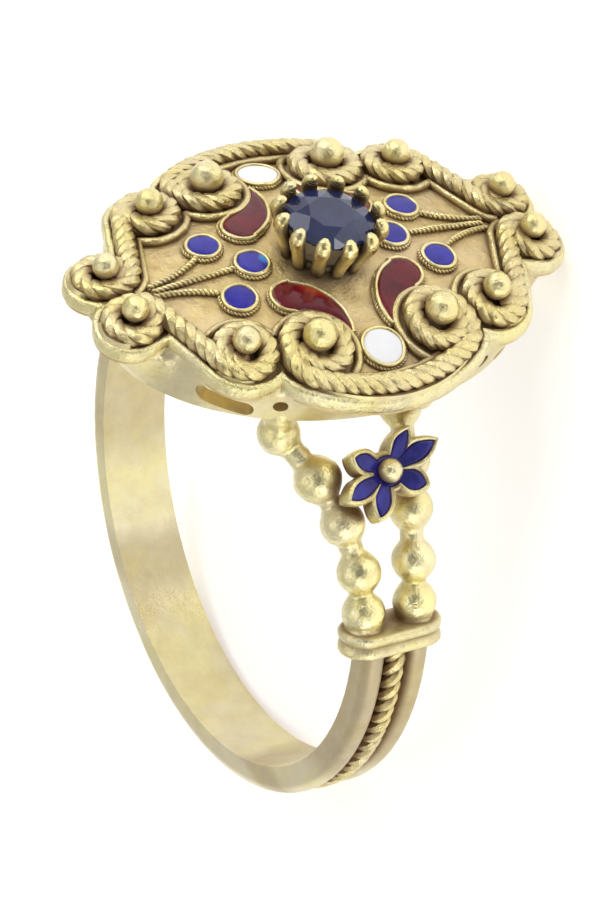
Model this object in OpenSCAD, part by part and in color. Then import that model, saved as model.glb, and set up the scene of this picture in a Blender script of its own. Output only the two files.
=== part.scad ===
// Finger ring in gold: a domed, lobed plaque with scrolls of twisted wire, enamel cells and a round
// sapphire in twelve claws, on a pierced gallery, beaded shoulders with an enamel flower, and a hoop
// of flat band and wire. Everything is drawn about the finger hole, X along the finger and Z up
// through the stone, then laid on its side as the loose ring rests.

/* [Hoop] */
// Inner radius of the hoop, the size of the finger
finger_r = 8.5; // [8:0.1:9.5]
// Width of the hoop along the finger
hoop_w = 2.4; // [2.2:0.1:3]
// Radius of the round edge wires
edge_wire_r = 0.39; // [0.3:0.01:0.4]
// Radius of the twisted wire between the edge wires
hoop_rope_r = 0.38; // [0.3:0.01:0.38]
// Angle of the hoop to each side of its lowest point
hoop_angle = 105; // [100:0.5:107]

/* [Shoulders] */
// Width of a collar along the finger
collar_w = 3.6; // [3.4:0.1:4]
// Depth of a collar from the finger outwards
collar_d = 1.7; // [1.5:0.1:1.9]
// Height of a collar along the hoop
collar_h = 0.8; // [0.7:0.1:1.2]
// Sideways lean of both shoulders on the hoop
shoulder_lean = -0.4; // [-0.5:0.05:0]
// Half the distance between the two bead strands at the collar
strand_half = 0.95; // [0.9:0.05:1]
// Radius of a flower from its centre to the tip of its longest petal
flower_r = 2.05; // [1.8:0.05:2.1]

/* [Plaque] */
// Height of the plaque's crown above the finger
head_lift = 3.1; // [3:0.1:3.6]
// Radius of the plaque's dome along the finger
long_r = 45; // [40:1:60]
// Radius of the plaque's dome across the finger
cross_r = 16.7; // [15:0.1:20]
// Thickness of the plate
plate_t = 0.3; // [0.25:0.05:0.5]
// Height of the raised rim above the plate
rim_h = 0.28; // [0.2:0.02:0.4]
// Width of the raised rim
rim_w = 0.16; // [0.12:0.01:0.2]
// Radius of the scrolls' twisted wire
rope_r = 0.34; // [0.28:0.01:0.34]
// Width of the wire round an enamel cell
cell_w = 0.15; // [0.13:0.01:0.2]
// Height of the wire round an enamel cell
cell_h = 0.26; // [0.2:0.01:0.3]
// Height of the enamel in its cell
enamel_h = 0.17; // [0.1:0.01:0.2]

/* [Stone] */
// Radius of the sapphire at its girdle
stone_r = 1.47; // [1.4:0.01:1.5]
// Height of the girdle above the plate
girdle_h = 1.25; // [1.15:0.05:1.5]
// Number of claws
claws = 12; // [10:1:12]
// Radius of a claw's wire
claw_r = 0.2; // [0.18:0.01:0.21]

/* [Hidden] */
// Space left between two pieces
gap = 0.03;
crown_z = finger_r + head_lift;
// Thickness of the hoop's flat band, and height of the edge wires' centres above the finger
band_t = 0.22;
edge_rise = 0.57;

// Centres of the scrolls' volutes in one quarter of the plan, and of the two arcs that join them
big_c = [2.24, 3.9];
side_c = [4.6, 3.4];
end_c = [7.35, 1.05];
lobe_c = [0, 0.45];
shoulder_c = [4.42, 3.05];
lobe_r = 5.3;
shoulder_r = 1.15;
end_lobe_r = 0.68;
// The lobe's arc runs on into the big volute where the line through both centres leaves it
lobe_turn = atan2(big_c[1] - lobe_c[1], big_c[0] - lobe_c[0]);
big_r = lobe_r - norm(big_c - lobe_c);
// The run between the side volute and the end volute leaves at this angle
run_turn = 21;
run = [cos(run_turn), sin(run_turn)];
// Radius at which the run meets the end volute
end_r = (end_c - shoulder_c) * run - shoulder_r;
// From the line of a scroll's wire to the outer edge of the rim
edge = 0.55;

// Arcs of a scroll's wire: centre x, centre y, radius at the start and end, angle at the start and end
LOBE_SCROLL = [
  [-big_c[0], big_c[1], 0.86, 0.92, 420, 192],
  [-big_c[0], big_c[1], 0.92, big_r, 192, 180 - lobe_turn],
  [lobe_c[0], lobe_c[1], lobe_r, lobe_r, 180 - lobe_turn, lobe_turn],
  [big_c[0], big_c[1], big_r, 0.92, lobe_turn, -12],
  [big_c[0], big_c[1], 0.92, 0.86, -12, -240],
];
SIDE_SCROLL = [
  [side_c[0], side_c[1], 0.72, 0.8, -50, -262],
  [shoulder_c[0], shoulder_c[1], shoulder_r, shoulder_r, 86, run_turn],
  [end_c[0], end_c[1], end_r, 0.66, 180 + run_turn, 262],
  [end_c[0], end_c[1], 0.66, 0.69, 262, 480],
];
rope_step = 0.36;
rope_sides = 10;

// Grains: volute centre and radius of the grain
GRAINS = [[big_c, 0.55], [side_c, 0.46], [end_c, 0.43]];
grain_z = 0.85;
grain_post_r = 0.26;
// The post starts clear of the plate's slope
grain_post_z = 0.1;

// Enamel cells, one quarter of the plan mirrored: centre x, centre y, radius of the enamel
white_cell = [0, 4.3, 0.64];
centre_cell = [2.58, 0, 0.5];
side_cell = [3.68, 1.28, 0.5];
// A drop-shaped cell: its round head, the arc of its back and the arc that follows the big volute
drop_head = [2.08, 1.72, 0.58];
drop_back = [2.58, 3.0, 1.9];
drop_hollow = 1.52;
// Stalks: where the outer ones leave their cells, where they bend, and where the three of one end meet
stalk_turn = -35;
stalk_bend = [5.04, 0.49];
stalk_end = [6.1, 0.26];
stalk_w = 0.12;
stalk_h = 0.1;

// Bead strand: angle from the lowest point of the hoop, radius of the bead
BEADS = [[113.6, 0.71], [122.2, 0.72], [132.5, 0.74], [142, 0.79], [152.6, 0.71]];
bead_ring_r = finger_r + 0.8;
neck_r = 0.4;

// Resting on its side: the end of the plaque and the lowest edge wire touch the floor
wire_x = hoop_w / 2 - edge_wire_r;
wire_z = finger_r + edge_rise;
end_x = end_c[0] + end_lobe_r + edge;
end_z = dome_z(end_x, end_c[1]) - plate_t;
rest_span = [end_x - wire_x, end_z + wire_z];
rest_lean = acos(edge_wire_r / norm(rest_span)) - atan2(rest_span[1], rest_span[0]);
rest_turn = 90 - rest_lean;
floor_z = wire_x * cos(rest_lean) + wire_z * sin(rest_lean) + edge_wire_r;
head_reach = end_c[0] * sin(rest_lean) + (dome_z(end_c[0], end_c[1]) + grain_z) * cos(rest_lean)
  + GRAINS[2][1];
hoop_reach = wire_x * sin(rest_lean) + wire_z * cos(rest_lean) + edge_wire_r;
rest_shift = [-(head_reach - hoop_reach) / 2, 0, floor_z];

GRAIN_NAMES = [for (i = [1:12]) str("grain_", i)];
BLUE_NAMES = [for (i = [1:6]) str("blue_enamel_", i)];
RED_NAMES = [for (i = [1:4]) str("red_enamel_", i)];
STRAND_NAMES = ["bead_strand_front_left", "bead_strand_front_right", "bead_strand_back_left",
  "bead_strand_back_right"];
SCROLL_NAMES = ["scroll_back_left", "scroll_back_right", "scroll_front_left", "scroll_front_right"];

gold = [0.83, 0.69, 0.36];
sapphire_blue = [0.08, 0.11, 0.25];
enamel_blue = [0.16, 0.16, 0.6];
enamel_red = [0.45, 0.08, 0.12];
enamel_white = [0.93, 0.94, 0.96];

// Height of the plaque's top, or of a surface parallel to it, above the finger's axis
function dome_z(x, y, lift = 0) =
  let (across = sqrt(pow(long_r + lift, 2) - x * x) - (long_r - cross_r))
  sqrt(across * across - y * y) - cross_r + crown_z;

// Lays the ring on its side
module at_rest() {
  translate(rest_shift) rotate([0, rest_turn, 0]) children();
}

// Draws the back half of a pair as it is, or the front half as its mirror
module on_side(side) {
  mirror([0, side < 0 ? 1 : 0, 0]) children();
}

// Puts a piece at an angle round the hoop, with its own -Z outwards and its own Y along the hoop
module round_hoop(angle, r, x = 0) {
  rotate([angle, 0, 0]) translate([x, 0, -r]) children();
}

// Flat band with a round wire along each edge
module hoop_section() {
  translate([finger_r, -hoop_w / 2]) square([band_t, hoop_w]);
  for (s = [-1, 1]) {
    translate([wire_z, s * wire_x]) circle(r = edge_wire_r);
    translate([finger_r, s > 0 ? wire_x : -hoop_w / 2]) square([wire_z - finger_r, edge_wire_r]);
  }
}
module hoop_sweep(angle) {
  rotate([0, 90, 0]) rotate([0, 0, -angle]) rotate_extrude(angle = 2 * angle) children();
}
module hoop_band() {
  color(gold) at_rest() hoop_sweep(hoop_angle) hoop_section();
}
module hoop_rope() {
  color(gold) at_rest() hoop_sweep(hoop_angle)
    translate([finger_r + band_t + gap + hoop_rope_r, 0]) circle(r = hoop_rope_r);
}

// Collar: two stadium plates on a narrower core, set across the end of the hoop
module stadium(w, d) {
  square([w - d, d], center = true);
  for (s = [-1, 1]) translate([s * (w - d) / 2, 0]) circle(d = d);
}
collar_play = 0.25;
collar_angle = (collar_h / 2 + gap) / finger_r * 180 / PI + hoop_angle + collar_play;
module collar(side) {
  inset = 0.1;
  plate_h = 0.34;
  color(gold) at_rest() on_side(side) difference() {
    round_hoop(collar_angle, finger_r + collar_d / 2, shoulder_lean) rotate([90, 0, 0]) {
      linear_extrude(collar_h, center = true) stadium(collar_w - 2 * inset, collar_d - 2 * inset);
      for (s = [-1, 1]) translate([0, 0, s * (collar_h - plate_h) / 2])
        linear_extrude(plate_h, center = true) stadium(collar_w, collar_d);
    }
    rotate([0, 90, 0]) cylinder(r = finger_r + gap, h = 8, center = true);
  }
}

// Strand of beads on a hidden core wire, curving apart from its twin up to a post under the gallery.
// It ends flat on the collar and just under the gallery. The left and the right strand: how fast it
// parts from the middle, how its post leans, and the angle of the gallery's lowest point above it.
STRANDS = [[0.0012, [0.5, 0.6], 68], [0.0005, [0.25, 2.2], 82]];
post_r = 0.45;
function strand(hand) = STRANDS[hand < 0 ? 0 : 1];
function strand_x(angle, hand) = strand_half + strand(hand)[0] * pow(angle - BEADS[0][0], 2);
function bead_at(i, hand) = let (a = BEADS[i][0])
  [shoulder_lean + hand * strand_x(a, hand), bead_ring_r * sin(a), -bead_ring_r * cos(a)];
module rod(from, to, r) {
  v = to - from;
  translate(from) rotate([0, acos(v[2] / norm(v)), atan2(v[1], v[0])]) cylinder(r = r, h = norm(v));
}
module bead_strand(side, hand) {
  last = len(BEADS) - 1;
  top = bead_at(last, hand);
  lean = strand(hand)[1];
  foot = [top[0] + hand * lean[0], top[1] + lean[1], crown_z];
  color(gold) at_rest() on_side(side) difference() {
    union() {
      for (i = [0:last]) translate(bead_at(i, hand)) sphere(r = BEADS[i][1]);
      for (i = [1:last]) rod(bead_at(i - 1, hand), bead_at(i, hand), neck_r);
      rod(top, foot, post_r);
    }
    translate([-6, 0, gallery_low(strand(hand)[2]) - gap]) cube([12, 12, 4]);
    round_hoop(collar_angle, bead_ring_r, shoulder_lean)
      cube([collar_w + 1, collar_h + 2 * gap, 3], center = true);
  }
}

// Six-petal flower in the fork of the strands, with its enamel and a ball in the middle.
// A petal: its direction, its reach as a share of the flower's radius and half its width.
PETALS = [[30, 0.73, 0.5], [118, 0.84, 0.44], [159, 0.94, 0.44], [210, 0.71, 0.46], [309, 0.8, 0.4],
  [341, 1, 0.46]];
flower_angle = 140.2;
flower_x = shoulder_lean - 0.1;
flower_seat = bead_ring_r + BEADS[3][1] + 0.04;
petal_root = 0.2;
petal_h = 0.46;
petal_floor = 0.26;
petal_edge = 0.12;
petal_tilt = 9;
hub_r = 0.72;
ball_r = 0.38;
ball_z = 0.66;
stem_r = 0.2;
module petals(grow, h) {
  for (row = PETALS) let (half = (row[1] * flower_r - petal_root) / 2)
    rotate([0, 0, row[0]]) rotate([0, -petal_tilt, 0]) translate([petal_root + half, 0, 0])
      linear_extrude(h) scale([half + grow, row[2] + grow]) circle(r = 1);
}
module flower_place(side) {
  at_rest() on_side(side) round_hoop(flower_angle, flower_seat, flower_x) rotate([180, 0, 0]) children();
}
module flower(side) {
  color(gold) flower_place(side) {
    difference() {
      union() {
        petals(0, petal_h);
        cylinder(r = hub_r, h = petal_floor + 0.1);
      }
      translate([0, 0, petal_floor]) petals(-petal_edge, 1);
      translate([0, 0, petal_floor]) cylinder(r = hub_r - 0.09, h = 1);
    }
    cylinder(r = stem_r, h = ball_z);
    translate([0, 0, ball_z]) sphere(r = ball_r);
  }
}
module flower_enamel(side) {
  color(enamel_blue) flower_place(side) difference() {
    translate([0, 0, petal_floor + gap]) union() {
      petals(-petal_edge - gap, petal_h - petal_floor - 0.06);
      cylinder(r = hub_r - 0.09 - gap, h = petal_h - petal_floor - 0.06);
    }
    cylinder(r = stem_r + gap, h = 2);
    translate([0, 0, ball_z]) sphere(r = ball_r + gap);
  }
}

// Plan of the plaque, grown from the line of the scrolls' wire
module quarter_plan(grow) {
  leave = shoulder_c + (shoulder_r + grow) * run;
  reach = end_c - (end_r - grow) * run;
  translate(lobe_c) intersection() {
    circle(r = lobe_r + grow);
    polygon([[0, 0], [0, 12], 12 * [cos(lobe_turn), sin(lobe_turn)]]);
  }
  translate(big_c) circle(r = big_r + grow);
  translate(shoulder_c) circle(r = shoulder_r + grow);
  translate(end_c) circle(r = end_lobe_r + grow);
  polygon([[0, 0], [0, big_c[1]], big_c, leave, reach, [end_c[0], 0]]);
}
module plan(grow) {
  for (x = [0, 1], y = [0, 1]) mirror([x, 0]) mirror([0, y]) quarter_plan(grow);
}

// Layer between two surfaces parallel to the plaque's dome
module dome(lift) {
  translate([0, 0, crown_z - cross_r]) rotate([0, 90, 0]) rotate_extrude() intersection() {
    translate([cross_r - long_r, 0]) circle(r = long_r + lift);
    translate([0, -10]) square([cross_r + 5, 20]);
  }
}
module dome_layer(low, high) {
  intersection() {
    translate([0, 0, crown_z - 3]) linear_extrude(5) children();
    difference() {
      dome(high);
      dome(low);
    }
  }
}

// Plans of the cells, grown outwards from the enamel's edge
module round_cell(cell, grow) {
  translate([cell[0], cell[1]]) circle(r = cell[2] + grow);
}
module drop_cell(grow) {
  translate([drop_head[0], drop_head[1]]) circle(r = drop_head[2] + grow);
  intersection() {
    difference() {
      translate([drop_back[0], drop_back[1]]) circle(r = drop_back[2] + grow);
      translate(big_c) circle(r = drop_hollow - grow);
    }
    square([drop_head[0], big_c[1]]);
  }
}
module mirrored() {
  for (x = [0, 1], y = [0, 1]) mirror([x, 0]) mirror([0, y]) children();
}
module cells(grow) {
  for (y = [0, 1]) mirror([0, y]) round_cell(white_cell, grow);
  for (x = [0, 1]) mirror([x, 0]) round_cell(centre_cell, grow);
  mirrored() round_cell(side_cell, grow);
  mirrored() drop_cell(grow);
}
module bar(from, to) {
  v = to - from;
  translate(from) rotate([0, 0, atan2(v[1], v[0])]) translate([0, -stalk_w / 2])
    square([norm(v), stalk_w]);
}
module stalks() {
  start = [side_cell[0], side_cell[1]] + (side_cell[2] + gap) * [cos(stalk_turn), sin(stalk_turn)];
  mirrored() {
    bar(start, stalk_bend);
    bar(stalk_bend, stalk_end);
    bar([centre_cell[0] + centre_cell[2] + gap, 0], [stalk_end[0], 0]);
  }
}

// Plate with its raised rim, the cell wires and their stalks soldered on
module plaque() {
  color(gold) at_rest() {
    dome_layer(-plate_t, 0) plan(edge);
    dome_layer(-0.1, rim_h) difference() {
      plan(edge);
      plan(edge - rim_w);
    }
    dome_layer(-0.1, cell_h) difference() {
      cells(cell_w + gap);
      cells(gap);
    }
    dome_layer(-0.1, stalk_h) difference() {
      stalks();
      cells(gap);
    }
  }
}

// Distance from the middle to the far side of a circle, or nothing where the ray misses it
function reach_circle(angle, c, r) =
  let (u = [cos(angle), sin(angle)], miss = c[0] * u[1] - c[1] * u[0])
  abs(miss) < r ? c * u + sqrt(r * r - miss * miss) : 0;
// Distance from the middle to the straight run beside the end volute
function reach_run(angle, grow) = (end_c * run - end_r + grow) / cos(angle - run_turn);
// Angle at which a point of the plan is seen from the middle
function seen(p) = atan2(p[1], p[0]);
// Distance from the middle to the plaque's edge at an angle folded into one quarter
function plan_reach(angle, grow) = max(
  reach_circle(angle, big_c, big_r + grow),
  reach_circle(angle, shoulder_c, shoulder_r + grow),
  reach_circle(angle, end_c, end_lobe_r + grow),
  angle > seen(lobe_c + (lobe_r + grow) * [cos(lobe_turn), sin(lobe_turn)])
    ? reach_circle(angle, lobe_c, lobe_r + grow) : 0,
  angle < seen(shoulder_c + (shoulder_r + grow) * run) ? reach_run(angle, grow) : 0);
function folded(angle) = let (a = angle % 180) a > 90 ? 180 - a : a;

// The gallery's wall runs from under the rim to an oval foot, which rises over the shoulders and flowers
foot_long = 7.4;
foot_cross = 5.4;
foot_depth = 2.37;
shoulder_rise = 0.1;
flower_rise = 0.1;
wall_t = 0.5;
function foot_reach(angle) =
  foot_long * foot_cross / norm([foot_cross * cos(angle), foot_long * sin(angle)]);
function gallery_low(angle) =
  crown_z - foot_depth + shoulder_rise * pow(sin(2 * angle), 2) + flower_rise * pow(sin(angle), 8);
function gallery_ring(angle, deep, inset) =
  let (a = folded(angle), top = plan_reach(a, edge - 0.06), low = foot_reach(a),
       r = top + (low - top) * deep - inset, x = r * cos(angle), y = r * sin(angle),
       z_top = dome_z(x, y, -plate_t) - gap)
  [x, y, z_top + (gallery_low(a) - z_top) * (deep < 0.5 ? deep * 0.8 : deep)];
GALLERY_STEPS = [0, 0.4, 1];
gallery_sides = 96;
module gallery_wall() {
  n = gallery_sides;
  m = len(GALLERY_STEPS);
  rows = concat([for (d = GALLERY_STEPS) [d, 0]], [for (i = [m - 1:-1:0]) [GALLERY_STEPS[i], wall_t]]);
  points = [for (row = rows, i = [0:n - 1]) gallery_ring(360 * (i + 0.5) / n, row[0], row[1])];
  faces = [for (k = [0:2 * m - 1], i = [0:n - 1], half = [0, 1])
    let (k2 = (k + 1) % (2 * m), j = (i + 1) % n)
    half == 0 ? [k * n + i, k * n + j, k2 * n + i] : [k * n + j, k2 * n + j, k2 * n + i]];
  polyhedron(points, faces);
}
// Piercings: angle in the plan, height below the crown, size of the opening and tilt of the ovals
OVALS = [[36.7, 1.72, 1.9, 0.7, 10]];
HOLES = [[52, 1.6, 0.24]];
module gallery() {
  color(gold) at_rest() difference() {
    gallery_wall();
    for (turn = [1, -1], half = [0, 180], oval = OVALS)
      rotate([0, 0, half + turn * oval[0]]) translate([4, 0, crown_z - oval[1]]) rotate([90, 0, 90])
        linear_extrude(5) rotate(-turn * oval[4]) stadium(oval[2], oval[3]);
    for (turn = [1, -1], half = [0, 180], hole = HOLES)
      rotate([0, 0, half + turn * hole[0]]) translate([4, 0, crown_z - hole[1]]) rotate([0, 90, 0])
        cylinder(r = hole[2], h = 5);
  }
}

// Points of a scroll's wire in plan, and the tube swept along them on the dome
function arc_steps(row) = max(2, ceil(abs(row[5] - row[4]) * PI / 180 * (row[2] + row[3]) / 2 / rope_step));
function scroll_plan(table) = [for (row = table) let (n = arc_steps(row)) for (i = [0:n])
  let (t = i / n, a = row[4] + (row[5] - row[4]) * t, r = row[2] + (row[3] - row[2]) * t)
  [row[0] + r * cos(a), row[1] + r * sin(a)]];
// Leaves out the points where two arcs join, and puts points along the straight run
function joined(plan) = [for (i = [0:len(plan) - 1])
  if (i == 0 || norm(plan[i] - plan[i - 1]) > rope_step / 4) plan[i]];
function filled(plan) = [for (i = [0:len(plan) - 1])
  let (p = plan[i], q = plan[min(i + 1, len(plan) - 1)], n = max(1, ceil(norm(q - p) / rope_step / 1.5)))
  for (k = [0:n - 1]) p + (q - p) * k / n];
function lifted(plan) = [for (p = plan) [p[0], p[1], dome_z(p[0], p[1], rope_r + gap)]];
function unit(v) = v / norm(v);
module tube(path, r, sides) {
  last = len(path) - 1;
  rings = [for (i = [0:last])
    let (t = unit(path[min(i + 1, last)] - path[max(i - 1, 0)]),
         s = unit(cross(t, [0, 0, 1])),
         u = cross(s, t))
    for (k = [0:sides - 1]) path[i] + r * (cos(360 * k / sides) * s + sin(360 * k / sides) * u)];
  walls = [for (i = [0:last - 1], k = [0:sides - 1]) let (a = i * sides + k, b = i * sides + (k + 1) % sides)
    [a, b, b + sides, a + sides]];
  caps = [[for (k = [sides - 1:-1:0]) k], [for (k = [0:sides - 1]) last * sides + k]];
  polyhedron(rings, concat(walls, caps));
}
module scroll(table, left, front) {
  color(gold) at_rest() mirror([left, 0, 0]) mirror([0, front, 0])
    tube(lifted(filled(joined(scroll_plan(table)))), rope_r, rope_sides);
}

// Grain on a short post in the middle of a volute
module grain(i) {
  row = GRAINS[floor(i / 4)];
  c = [(i % 2 == 0 ? 1 : -1) * row[0][0], (floor(i / 2) % 2 == 0 ? 1 : -1) * row[0][1]];
  z = dome_z(c[0], c[1]);
  color(gold) at_rest() translate([c[0], c[1], z]) {
    translate([0, 0, grain_z]) sphere(r = row[1]);
    translate([0, 0, grain_post_z]) cylinder(r = grain_post_r, h = grain_z - grain_post_z);
  }
}

// Claw setting: a ring and a circle of claws, each bent in over the stone
claw_foot_r = 1.3;
claw_turn = 24;
claw_bend = [1.74, girdle_h + 0.02];
claw_tip = [1.53, girdle_h + 0.3];
claw_ring = [1.0, 1.35];
claw_ring_h = 0.3;
module claw_setting() {
  color(gold) at_rest() translate([0, 0, crown_z]) {
    for (i = [0:claws - 1]) rotate([0, 0, 360 * i / claws + claw_turn]) {
      rod([claw_foot_r, 0, 0.1], [claw_bend[0], 0, claw_bend[1]], claw_r);
      translate([claw_bend[0], 0, claw_bend[1]]) sphere(r = claw_r);
      rod([claw_bend[0], 0, claw_bend[1]], [claw_tip[0], 0, claw_tip[1]], claw_r);
      translate([claw_tip[0], 0, claw_tip[1]]) sphere(r = claw_r);
    }
    translate([0, 0, gap + 0.01]) difference() {
      cylinder(r = claw_ring[1], h = claw_ring_h);
      translate([0, 0, -1]) cylinder(r = claw_ring[0], h = 2);
    }
  }
}

// Brilliant-cut stone: crown and pavilion of eight kites each, with the halves beside the girdle
table_r = 0.76;
star_r = 1.13;
lower_r = 0.62;
crown_h = 0.36;
girdle_t = 0.06;
pavilion_h = 1.05;
function ring8(r, z, turn) = [for (i = [0:7]) [r * cos(45 * i + turn), r * sin(45 * i + turn), z]];
// Height at which a kite's side corner lies in the plane of the kite
function kite_z(r, near, far) =
  near[1] + (r * cos(22.5) - near[0]) * (far[1] - near[1]) / (far[0] - near[0]);
module sapphire() {
  mid = 22.5;
  star_z = kite_z(star_r, [table_r, crown_h], [stone_r, girdle_t]);
  lower_z = kite_z(lower_r, [0, -pavilion_h], [stone_r, 0]);
  points = concat(ring8(table_r, crown_h, 0), ring8(star_r, star_z, mid), ring8(stone_r, girdle_t, 0),
    ring8(stone_r, girdle_t, mid), ring8(stone_r, 0, 0), ring8(stone_r, 0, mid),
    ring8(lower_r, lower_z, mid), [[0, 0, -pavilion_h]]);
  side_faces = [for (i = [0:7]) let (j = (i + 1) % 8, h = (i + 7) % 8) each [
    [i, j, 8 + i],
    [i, 8 + i, 16 + i, 8 + h],
    [8 + i, 24 + i, 16 + i],
    [8 + i, 16 + j, 24 + i],
    [16 + i, 24 + i, 40 + i, 32 + i],
    [24 + i, 16 + j, 32 + j, 40 + i],
    [48 + i, 32 + i, 40 + i],
    [48 + i, 40 + i, 32 + j],
    [56, 48 + h, 32 + i, 48 + i]]];
  faces = concat([[for (i = [7:-1:0]) i]], side_faces);
  color(sapphire_blue) at_rest() translate([0, 0, crown_z + girdle_h]) polyhedron(points, faces);
}

// Enamel in its cells
module enamel_layer(paint) {
  color(paint) at_rest() dome_layer(gap, enamel_h) children();
}
module white_enamel(front) {
  enamel_layer(enamel_white) mirror([0, front]) round_cell(white_cell, 0);
}
BLUE_CELLS = [[0, 0, centre_cell], [1, 0, centre_cell], [0, 0, side_cell], [1, 0, side_cell],
  [0, 1, side_cell], [1, 1, side_cell]];
module blue_enamel(i) {
  row = BLUE_CELLS[i];
  enamel_layer(enamel_blue) mirror([row[0], 0]) mirror([0, row[1]]) round_cell(row[2], 0);
}
module red_enamel(i) {
  enamel_layer(enamel_red) mirror([i % 2, 0]) mirror([0, floor(i / 2)]) drop_cell(0);
}

hoop_band();
hoop_rope();
collar(-1);  // collar_front
collar(1);  // collar_back
bead_strand(-1, -1);  // bead_strand_front_left
bead_strand(-1, 1);  // bead_strand_front_right
bead_strand(1, -1);  // bead_strand_back_left
bead_strand(1, 1);  // bead_strand_back_right
flower(-1);  // flower_front
flower(1);  // flower_back
flower_enamel(-1);  // flower_enamel_front
flower_enamel(1);  // flower_enamel_back
gallery();
plaque();
scroll(LOBE_SCROLL, 0, 0);  // lobe_scroll_back
scroll(LOBE_SCROLL, 0, 1);  // lobe_scroll_front
scroll(SIDE_SCROLL, 1, 0);  // scroll_back_left
scroll(SIDE_SCROLL, 0, 0);  // scroll_back_right
scroll(SIDE_SCROLL, 1, 1);  // scroll_front_left
scroll(SIDE_SCROLL, 0, 1);  // scroll_front_right
for (i = [0:11]) grain(i);
claw_setting();
sapphire();
white_enamel(0);  // white_enamel_back
white_enamel(1);  // white_enamel_front
for (i = [0:5]) blue_enamel(i);
for (i = [0:3]) red_enamel(i);
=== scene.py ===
from math import atan2, ceil, cos, exp, hypot, log, pi, radians, sin, sqrt

import bmesh
import bpy
from mathutils import Matrix, Vector, noise


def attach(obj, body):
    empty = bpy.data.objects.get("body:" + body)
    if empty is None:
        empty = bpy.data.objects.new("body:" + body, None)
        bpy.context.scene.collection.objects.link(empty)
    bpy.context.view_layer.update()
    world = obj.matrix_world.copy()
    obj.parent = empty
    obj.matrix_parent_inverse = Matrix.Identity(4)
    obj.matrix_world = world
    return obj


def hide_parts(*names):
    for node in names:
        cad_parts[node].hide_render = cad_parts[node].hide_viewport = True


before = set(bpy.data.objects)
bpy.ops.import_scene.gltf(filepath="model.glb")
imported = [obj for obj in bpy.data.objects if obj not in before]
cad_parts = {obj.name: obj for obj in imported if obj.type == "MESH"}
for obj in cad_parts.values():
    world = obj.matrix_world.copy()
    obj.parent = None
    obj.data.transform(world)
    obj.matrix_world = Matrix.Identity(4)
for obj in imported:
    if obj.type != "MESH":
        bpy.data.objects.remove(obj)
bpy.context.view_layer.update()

# Camera: the ring is drawn upright, in millimetres about the middle of the finger hole, with X
# along the finger, -Y to the front and Z up through the stone. rest lays it on its side, in
# metres, and the camera goes with it, so that it sees the ring as the photograph does.
LIE_TURN, LIE_SHIFT = 69.3485, (-2.4559, 0, 4.34678)
CAMERA_PLACE = (-82.64, -107.36, 122.67)
CAMERA_AXES = ((0.8649, 0.1977, -0.4614), (-0.4658, 0.6586, -0.5910), (0.1870, 0.7261, 0.6617))
CAMERA_LENS = 218.98
rest = Matrix.Scale(0.001, 4) @ Matrix.Translation(LIE_SHIFT)
rest = rest @ Matrix.Rotation(radians(LIE_TURN), 4, "Y")
turned = rest.to_3x3() * 1000 @ Matrix(CAMERA_AXES)
view = bpy.data.cameras.new("camera")
view.lens = CAMERA_LENS
view.sensor_width = 36
view.clip_start = 0.01
camera = bpy.data.objects.new("camera", view)
camera.matrix_world = Matrix.Translation(rest @ Vector(CAMERA_PLACE)) @ turned.to_4x4()
bpy.context.collection.objects.link(camera)
bpy.context.scene.camera = camera
bpy.context.scene.view_settings.view_transform = "Standard"

# Studio: a table of white paper and six soft lights, the strongest of them above the stone. The
# room is pale, and darker on the side of the camera.
TABLE_HALF = 0.6
ROOM_PALE, ROOM_DARK = 0.57, 0.12


def nodes_of(material):
    """The node tree of a material, a function that adds a node, and its main shader."""
    material.use_nodes = True
    tree = material.node_tree

    def add(kind, **settings):
        """Each setting is a value of the node itself, or else of its socket of that name."""
        node = tree.nodes.new("ShaderNode" + kind)
        for key, value in settings.items():
            if hasattr(node, key):
                setattr(node, key, value)
            else:
                node.inputs[key.replace("_", " ").title()].default_value = value
        return node

    return tree, add, tree.nodes["Principled BSDF"]


paper = bpy.data.materials.new("paper")
tree, add, shader = nodes_of(paper)
shader.inputs["Base Color"].default_value = (0.92, 0.92, 0.92, 1)
shader.inputs["Roughness"].default_value = 0.9
shader.inputs["Emission Color"].default_value = (1, 1, 1, 1)
shader.inputs["Emission Strength"].default_value = 0.46
fleck = add("TexNoise", Scale=900, Detail=3)
dent = add("Bump", Strength=0.05, Distance=0.0001)
tree.links.new(add("TexCoord").outputs["Object"], fleck.inputs["Vector"])
tree.links.new(fleck.outputs["Fac"], dent.inputs["Height"])
tree.links.new(dent.outputs["Normal"], shader.inputs["Normal"])
bm = bmesh.new()
bmesh.ops.create_grid(bm, x_segments=1, y_segments=1, size=TABLE_HALF)
mesh = bpy.data.meshes.new("table_top")
bm.to_mesh(mesh)
mesh.materials.append(paper)
table_top = bpy.data.objects.new("table_top", mesh)
bpy.context.collection.objects.link(table_top)

world = bpy.data.worlds.new("studio")
world.use_nodes = True
sky = world.node_tree
toward_camera = sky.nodes.new("ShaderNodeVectorMath")
toward_camera.operation = "DOT_PRODUCT"
toward_camera.inputs[1].default_value = turned.col[2].normalized()
sky.links.new(sky.nodes.new("ShaderNodeTexCoord").outputs["Generated"], toward_camera.inputs[0])
darker = sky.nodes.new("ShaderNodeMapRange")
darker.inputs["From Min"].default_value = 0.8
darker.inputs["From Max"].default_value = 0.96
darker.inputs["To Min"].default_value = ROOM_PALE
darker.inputs["To Max"].default_value = ROOM_DARK
sky.links.new(toward_camera.outputs["Value"], darker.inputs["Value"])
sky.links.new(darker.outputs["Result"], sky.nodes["Background"].inputs["Strength"])
sky.nodes["Background"].inputs["Color"].default_value = (1, 1, 1, 1)
bpy.context.scene.world = world

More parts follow.
